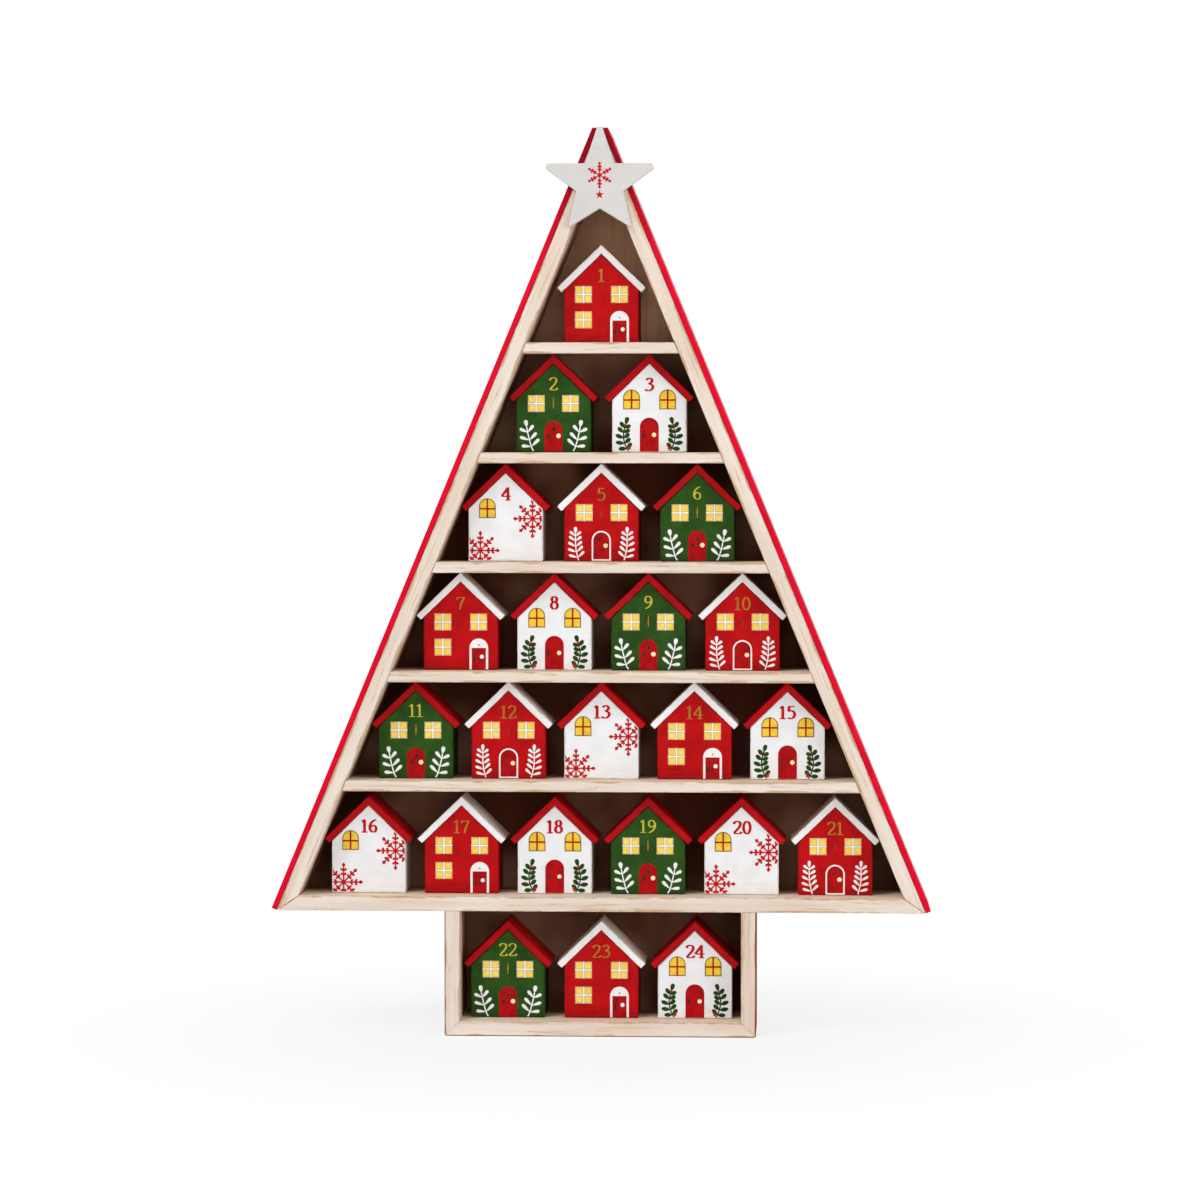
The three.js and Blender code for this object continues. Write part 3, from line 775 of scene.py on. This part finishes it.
class Coats:
    """A piece painted on a front: layers of rings, each with its height and paint.

    Where rings overlap, the later layer covers. Nothing is painted outside the ring clip.
    """

    def __init__(self, clip=None):
        self.layers = []
        self.clip = clip

    def coat(self, rings, height, paint):
        self.layers.append((rings, height, PAINTS[paint]))

    def triangles(self):
        """The painted triangles, each with its layer, and the points that they are made of."""
        drawn, owners = [], []
        for layer, (rings, _, _) in enumerate(self.layers):
            drawn += rings
            owners += [layer] * len(rings)
        clip_face = len(drawn)
        if self.clip:
            drawn.append(self.clip)
        points, faces = [], []
        for ring in drawn:
            faces.append(list(range(len(points), len(points) + len(ring))))
            points += [Vector(point) for point in ring]
        flat, _, triangles, _, _, sources = delaunay_2d_cdt(
            points, [], faces, TRIANGLES_INSIDE, TOUCHING
        )
        painted = []
        for triangle, source in zip(triangles, sources):
            covering = [owners[i] for i in source if i < clip_face]
            if covering and (not self.clip or clip_face in source):
                painted.append((triangle, max(covering)))
        return painted, flat

    def build(self, name, x, y, z):
        """One closed mesh, with the drawing's origin at (x, y, z) and the coats towards -Y."""
        painted, flat = self.triangles()
        bm = bmesh.new()
        corners = {}

        def face(places, layer):
            """A face through places, which are points with their heights."""
            for place in places:
                if place not in corners:
                    index, height = place
                    a, b = flat[index]
                    corners[place] = bm.verts.new(Vector((x + a, y - height, z + b)) * MM)
            bm.faces.new([corners[place] for place in places]).material_index = layer

        edges = {}
        for triangle, layer in painted:
            height = self.layers[layer][1]
            face([(i, height) for i in triangle], layer)
            face([(i, -SUNK) for i in reversed(triangle)], layer)
            for a, b in zip(triangle, [*triangle[1:], triangle[0]]):
                edges.setdefault((min(a, b), max(a, b)), []).append((height, layer))
        for (a, b), sides in edges.items():
            if len(sides) == 1:
                sides = [*sides, (-SUNK, sides[0][1])]
            (low, _), (high, layer) = sorted(sides, key=lambda side: side[0])
            if low < high:
                face([(a, low), (b, low), (b, high), (a, high)], layer)
        bmesh.ops.recalc_face_normals(bm, faces=bm.faces)
        mesh = bpy.data.meshes.new(name)
        bm.to_mesh(mesh)
        bm.free()
        for _, _, paint in self.layers:
            mesh.materials.append(paint)
        piece = bpy.data.objects.new(name, mesh)
        bpy.context.scene.collection.objects.link(piece)
        return piece


PAINTS = {"pane": coat_paint("pane_warm", PANE_WARM, PANE_LIGHT, GLOSSY_ROUGH)}
for key, (name, paint, share, *rough) in COAT_PAINTS.items():
    PAINTS[key] = coat_paint(name, paint, darker(paint, share), *rough)

FRONT_MARGIN = 0.6
GABLE_MARGIN = 1.6 * FRONT_MARGIN
OUTLINE_HALF = HOUSE_HALF - FRONT_MARGIN
FRONT_OUTLINE = [
    (-OUTLINE_HALF, FRONT_MARGIN),
    (OUTLINE_HALF, FRONT_MARGIN),
    (OUTLINE_HALF, WALL_HEIGHT - FRONT_MARGIN),
    (0, GABLE_HEIGHT - GABLE_MARGIN),
    (-OUTLINE_HALF, WALL_HEIGHT - FRONT_MARGIN),
]


def add(house, coats, part):
    """Builds a painted piece on a house's front and lets it ride on the house."""
    piece = coats.build(f"{house.name}_{part}", house.centre, house.front, house.bottom)
    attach(piece, house.name)


SQUARE_WINDOW = 11.1
SQUARE_BAR = 1.1
SQUARE_BORDER = 0.12
SQUARE_SHADE_LINE = 0.32  # the darker line of painted shade round each pane


def square_windows(house, centres):
    """Four panes each, with a white cross, a thin white border and, round each pane, a
    darker line of painted shade.
    """
    coats = Coats()
    half = SQUARE_WINDOW / 2
    for x, z in centres:
        coats.coat([rectangle(x - half, x + half, z - half, z + half)], SECOND_COAT, "white")
        for inset, paint in ((0, "amber"), (SQUARE_SHADE_LINE, "pane")):
            near, far = SQUARE_BAR / 2 + inset, half - SQUARE_BORDER - inset
            spans = ((-far, -near), (near, far))
            panes = [rectangle(x + a, x + b, z + c, z + d) for a, b in spans for c, d in spans]
            coats.coat(panes, COAT, paint)
    add(house, coats, "windows")


ARCHED_WIDTH, ARCHED_HEIGHT = 11.2, 13.2
ARCHED_EDGE = 0.4  # the brown outline
ARCHED_SHADE_LINE = 0.35  # the darker line of painted shade inside it
ARCHED_BAR = 0.56  # half of a glazing bar's width
ARCHED_BAR_HEIGHT = 0.47  # the level bar's, as a share of the window's


def arched_windows(house, lefts, low):
    """Lemon panes with red glazing bars, a thin brown outline and, inside it, a darker line of
    painted shade.
    """
    coats = Coats()
    edge, bar = ARCHED_EDGE, ARCHED_BAR
    high = low + ARCHED_HEIGHT
    level = low + ARCHED_BAR_HEIGHT * ARCHED_HEIGHT
    for left in lefts:
        right, middle = left + ARCHED_WIDTH, left + ARCHED_WIDTH / 2
        for inset, paint in ((0, "brown"), (edge, "amber"), (edge + ARCHED_SHADE_LINE, "lemon")):
            coats.coat([arch(left + inset, right - inset, low + inset, high - inset)], COAT, paint)
        bars = [
            rectangle(middle - bar, middle + bar, low + edge, high - edge),
            rectangle(left + edge, right - edge, level - bar, level + bar),
        ]
        coats.coat(bars, SECOND_COAT, "bar")
    add(house, coats, "windows")


DOOR_FOOT = 0.3


def finish_door(house, coats, specks, knob, knob_paint="knob"):
    """Adds the small dark green marks of a wreath and the door's knob."""
    coats.coat([oval(*speck) for speck in specks], SECOND_COAT, "speck")
    coats.coat([oval(*knob)], THIRD_COAT, knob_paint)
    add(house, coats, "door")


def arched_door(house, half, top, knob, specks):
    coats = Coats()
    coats.coat([arch(-half, half, DOOR_FOOT, top)], COAT, "door")
    finish_door(house, coats, specks, knob)


def part_way(line, share):
    """The point that lies a share of a line's length along it, and the line's direction there."""
    lengths = [math.dist(a, b) for a, b in zip(line, line[1:])]
    left = share * sum(lengths)
    for (x, z), (next_x, next_z), length in zip(line, line[1:], lengths):
        if left < length:
            break
        left -= length
    step = left / length
    turn = math.atan2(next_z - z, next_x - x)
    return x + step * (next_x - x), z + step * (next_z - z), turn


STEM_STEPS = 8
BUD_PLACE = 0.99  # as a share of the stem
BUD_FULLEST = 0.7


def sprig(points, pairs, width, bud, stem_width=0.85, fullest=0.78):
    """A stem through points, its leaves and the bud on top, for the right of a door.

    Each pair of leaves has its place as a share of the stem, its outer and inner leaf's length and
    the angle at which they open. Bud is a length and a width.
    """
    stem = smooth(points, STEM_STEPS)
    leaves = []
    for share, outer, inner, opening in pairs:
        x, z, turn = part_way(stem, share)
        leaves.append(leaf(x, z, outer, width, turn - opening, fullest))
        leaves.append(leaf(x, z, inner, width, turn + opening, fullest))
    x, z, turn = part_way(stem, BUD_PLACE)
    leaves.append(leaf(x, z, *bud, turn, BUD_FULLEST))
    return ribbon(stem, stem_width), leaves


def sprigs(house, paint, stem_paint, berries=(), **shape):
    """A sprig on each side of the door. A berry has its place on the right and its size."""
    coats = Coats(FRONT_OUTLINE)
    stem, leaves = sprig(**shape)
    coats.coat(mirrored(leaves), COAT, paint)
    coats.coat(mirrored(stem), SECOND_COAT, stem_paint)
    coats.coat(leaves, COAT, paint)
    coats.coat(stem, SECOND_COAT, stem_paint)
    if berries:
        rings = [oval(side * x, z, size, size) for x, z, size in berries for side in (-1, 1)]
        coats.coat(rings, THIRD_COAT, "berry")
    add(house, coats, "sprigs")


def number(house, x, baseline, height, paint):
    coats = Coats(FRONT_OUTLINE)
    pen = RED_PEN if paint == "red" else GOLD_PEN
    coats.coat(digits(house.day, x, baseline, height, pen), COAT, paint)
    add(house, coats, "number")


PENDANT_WIDTH, PENDANT_TIP_WIDTH = 1.1, 0.6
PENDANT_OVAL = 0.36  # the oval's height, as a share of the whole
PENDANT_OVERLAP = 0.8  # how far each tip's foot is beyond the middle


def pendant(house, low, high, paint):
    """The small upright mark between a house's windows."""
    middle = (low + high) / 2
    up, down = high - middle + PENDANT_OVERLAP, middle - low + PENDANT_OVERLAP
    rings = [
        oval(0, middle, PENDANT_WIDTH, (high - low) * PENDANT_OVAL),
        leaf(0, middle - PENDANT_OVERLAP, up, PENDANT_TIP_WIDTH, math.pi / 2),
        leaf(0, middle + PENDANT_OVERLAP, down, PENDANT_TIP_WIDTH, -math.pi / 2),
    ]
    coats = Coats()
    coats.coat(rings, COAT, paint)
    add(house, coats, "pendant")


# What is painted on each kind of front, in millimetres from the lower middle of its front board.
# A speck or a knob is an oval: its place, width, height and turn


def paint_a(house):
    """Red: three square windows and, at the right, a door in a white frame with a solid head."""
    square_windows(house, [(-11.9, 31.9), (12.1, 31.9), (-11.9, 15.1)])
    coats = Coats()
    coats.coat([arch(5.9, 18.4, DOOR_FOOT, 20.9)], SECOND_COAT, "white")
    coats.coat([rectangle(7.4, 16.9, DOOR_FOOT, 14.6)], COAT, "door")
    specks = [(10.2, 11.6, 1.3, 2.3, -0.3), (9.3, 7.0, 1.4, 4.6), (12.2, 16.6, 1.0, 1.0)]
    finish_door(house, coats, specks, (14.2, 8.7, 2.8, 2.8), "white")
    number(house, 0, 40.2, 8.9, "gold_on_red")


def paint_b(house):
    """Green: two square windows, a red door and white sprigs."""
    square_windows(house, [(-11.4, 32.2), (11.4, 32.2)])
    specks = [(0.3, 15.1, 2.0, 2.4), (0.6, 17.8, 0.9, 2.4, 0.1), (-2.9, 10.7, 2.2, 2.2)]
    arched_door(house, 6.0, 20.6, (3.4, 10.7, 3.1, 3.1), specks)
    sprigs(
        house, "white", "white", points=[(13.2, 0.6), (14.8, 3.7), (17.1, 12.6), (17.8, 16.4)],
        pairs=[(0.2, 6.5, 7.3, 1.14), (0.47, 6.8, 6.9, 1.0), (0.79, 5.9, 6.2, 0.9)],
        width=2.2, bud=(5.1, 2.7),
    )
    pendant(house, 28.8, 36.4, "gold_on_red")
    number(house, 0, 41.0, 8.9, "gold_on_green")


def paint_c(house):
    """White: two arched windows, a red door and green sprigs with berries."""
    arched_windows(house, [-17.4, 6.6], 28.3)
    specks = [(-3.9, 13.3, 1.1, 1.2, 0.3), (-4.0, 11.0, 1.8, 2.1)]
    arched_door(house, 6.3, 22.8, (3.2, 11.4, 2.9, 2.9), specks)
    sprigs(
        house, "green", "stem", [(13.2, 2.4, 1.9), (12.4, 3.8, 1.3), (15.9, 18.0, 1.5)],
        points=[(14.0, 0.7), (16.3, 5.6), (17.2, 10.0), (17.0, 13.4), (15.8, 18.0)],
        pairs=[(0.1, 5.6, 4.8, 1.15), (0.3, 6.1, 5.2, 1.12), (0.5, 5.8, 5.0, 1.05),
               (0.7, 5.3, 4.7, 0.98), (0.88, 5.0, 4.4, 0.9)],
        width=2.8, bud=(5.6, 2.9), fullest=0.55,
    )
    number(house, 0, 40.4, 9.0, "red")


def paint_d(house):
    """White: one arched window and two red snowflakes."""
    arched_windows(house, [-17.8], 28.6)
    coats = Coats(FRONT_OUTLINE)
    flakes = snowflake(18.0, 28.2, 12.8) + snowflake(-16.9, 7.0, 12.8)
    coats.coat(flakes, COAT, "red")
    add(house, coats, "snowflakes")
    number(house, 0.4, 40.4, 9.0, "red")


def paint_e(house):
    """Red: two square windows, a door outlined in white with a sill, and white sprigs."""
    square_windows(house, [(-11.4, 32.3), (11.8, 32.3)])
    coats = Coats()
    coats.coat([arch(-6.4, 6.4, DOOR_FOOT, 20.2)], SECOND_COAT, "white")
    coats.coat([arch(-5.4, 5.4, 1.2, 19.2)], COAT, "door")
    specks = [(-1.6, 14.2, 1.2, 2.4, 0.3), (-2.6, 8.4, 1.5, 1.1), (0.4, 6.0, 0.8, 1.3, 0.4)]
    finish_door(house, coats, specks, (2.9, 10.3, 3.0, 3.0))
    sprigs(
        house, "white", "white", points=[(15.2, 0.6), (17.0, 8.8), (17.2, 18.2)],
        pairs=[(0.1, 6.2, 5.9, 1.04), (0.31, 6.1, 5.8, 1.0), (0.52, 5.7, 5.4, 0.97),
               (0.73, 5.2, 5.0, 0.94), (0.92, 4.8, 4.6, 0.92)],
        width=1.8, bud=(4.8, 2.2), stem_width=0.75,
    )
    pendant(house, 29.2, 34, "brown")
    number(house, 0, 40.2, 8.9, "gold_on_red")


PAINT_FRONT = {"A": paint_a, "B": paint_b, "C": paint_c, "D": paint_d, "E": paint_e}
HOUSE_WEAR = 0.6  # about the share of a house's edges that is rubbed through


def worn_edges(part, paints, bare):
    """For each colour of a house's walls or roof, the paint of their rounded edges."""
    edges = {}
    for colour, paint in paints.items():
        edges[colour] = worn_edge(f"{colour}_{part}_worn", paint, bare[colour], HOUSE_WEAR)
    return edges


def dress_houses():
    worn_walls = worn_edges("wall", WALL_PAINT, WALL_WORN)
    worn_roofs = worn_edges("roof", ROOF_PAINT, ROOF_WORN)
    roof_front = TO_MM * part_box("house_01_roof")[0].y
    roofs = {roof: roof_paint(roof, roof_front) for roof in ROOF_PAINT}
    for day, scheme in enumerate(SCHEMES, 1):
        house = House(day, scheme)
        body, roof = f"{house.name}_body", f"{house.name}_roof"
        bevelled(body, house_paint(house), worn_walls[house.wall], HOUSE_BEVEL)
        bevelled(roof, roofs[house.roof], worn_roofs[house.roof], HOUSE_BEVEL)
        PAINT_FRONT[scheme](house)


STAR_FLAKE_DROP = 31.6  # from the big star's upper point down to its snowflake's middle
SMALL_STAR_DROP = 12.8  # from there down to the small star's middle


def dress_star():
    """A generic snowflake and a small star on the big star's front."""
    low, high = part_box("star")
    middle = TO_MM * high.z - STAR_FLAKE_DROP
    coats = Coats()
    coats.coat(snowflake(0, middle, radius=8.6, arms=6, stem=0.85), COAT, "motif")
    coats.coat([star_ring(0, middle - SMALL_STAR_DROP, radius=3.0)], COAT, "motif")
    piece = coats.build("star_motif", TO_MM / 2 * (low.x + high.x), TO_MM * low.y, 0)
    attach(piece, "tree")


# The studio, in metres. A lamp has its name, place, size and power, and points at the middle
LAMPS = (
    ("key", (-1.4, -1.9, 2.5), 1.3, 36),
    ("front", (0.3, -3.2, 0.8), 1.8, 22),
    ("right", (2.2, -1.9, 0.7), 1.5, 24),
    ("rear", (0.9, 2.6, 1.7), 1.8, 16),
)
MIDDLE = (0, 0, 0.3)
SURROUND_STRENGTH = 0.38  # as the object's light. What is seen of it has a strength of 1, white
FLOOR_REACH = 12
FLOOR_GREY = (0.93, 0.93, 0.93, 1)
FLOOR_WHITE = 0.8  # the share of plain white in what is seen of the floor under the calendar
FLOOR_WHITE_REACH = 4  # in half widths of the trunk: where it is all plain white
CAMERA_PLACE, CAMERA_TARGET = (0.132, -2.729, 0.3898), (0, -0.029, 0.2905)


def lamp(name, place, size, power):
    light = bpy.data.lights.new(name, "AREA")
    light.shape = "SQUARE"
    light.size = size
    light.energy = power
    holder = bpy.data.objects.new(name, light)
    bpy.context.scene.collection.objects.link(holder)
    holder.location = place
    towards = Vector(MIDDLE) - Vector(place)
    holder.rotation_euler = towards.to_track_quat("-Z", "Y").to_euler()


def shown_background(tree, strength):
    """Strength as the object's light, and 1 in what the camera and reflections see."""
    path = tree.nodes.new("ShaderNodeLightPath")
    shown = path.outputs["Is Camera Ray"]
    for ray in ("Is Glossy Ray", "Is Transmission Ray"):
        either = tree.nodes.new("ShaderNodeMath")
        either.operation = "MAXIMUM"
        tree.links.new(shown, either.inputs[0])
        tree.links.new(path.outputs[ray], either.inputs[1])
        shown = either.outputs[0]
    mixed = tree.nodes.new("ShaderNodeMix")
    mixed.inputs[2].default_value = strength
    mixed.inputs[3].default_value = 1.0
    tree.links.new(shown, mixed.inputs[0])
    return mixed.outputs[0]


def floor_white():
    """A pale floor that keeps a faint shadow near the calendar and is plain white further out."""
    s = Shader("floor_white")
    x, y, _ = s.split(s.place())
    distance = s.math("SQRT", s.plus(s.times(x, x), s.times(y, y)))
    reach = FLOOR_WHITE_REACH * TRUNK_OUTSIDE
    white = s.span(distance, TRUNK_OUTSIDE, reach, FLOOR_WHITE, 1)
    share = s.times(shown_background(s.tree, 0.0), white)
    lit = s.add("ShaderNodeBsdfDiffuse", {"Color": FLOOR_GREY}).outputs[0]
    plain = s.add("ShaderNodeEmission", {"Strength": 1.0}).outputs[0]
    both = s.add("ShaderNodeMixShader", {0: share, 1: lit, 2: plain}).outputs[0]
    s.add("ShaderNodeOutputMaterial", {"Surface": both})
    return s.material


def add_world(scene):
    world = bpy.data.worlds.new("surround")
    world.use_nodes = True
    scene.world = world
    light = world.node_tree.nodes["Background"]
    light.inputs["Color"].default_value = (1, 1, 1, 1)
    strength = shown_background(world.node_tree, SURROUND_STRENGTH)
    world.node_tree.links.new(strength, light.inputs["Strength"])


def add_floor(scene):
    mesh = bpy.data.meshes.new("floor")
    corners = rectangle(-FLOOR_REACH, FLOOR_REACH, -FLOOR_REACH, FLOOR_REACH)
    mesh.from_pydata([(x, y, 0) for x, y in corners], [], [(0, 1, 2, 3)])
    mesh.materials.append(floor_white())
    floor = bpy.data.objects.new("floor", mesh)
    scene.collection.objects.link(floor)


def add_camera(scene):
    camera = bpy.data.cameras.new("camera")
    camera.sensor_width = 36
    camera.lens = 122.6
    camera.clip_start = 0.1
    camera.clip_end = 100
    eye = bpy.data.objects.new("camera", camera)
    scene.collection.objects.link(eye)
    eye.location = CAMERA_PLACE
    aim = Vector(CAMERA_TARGET) - Vector(eye.location)
    eye.rotation_mode = "QUATERNION"
    eye.rotation_quaternion = aim.to_track_quat("-Z", "Y")
    scene.camera = eye


def studio():
    """A pale floor, a white surround, a soft key from the upper left and the camera."""
    scene = bpy.context.scene
    scene.view_settings.view_transform = "Standard"
    add_world(scene)
    add_floor(scene)
    for light in LAMPS:
        lamp(*light)
    add_camera(scene)


dress_frame()
dress_houses()
dress_star()
studio()

bpy.context.view_layer.update()
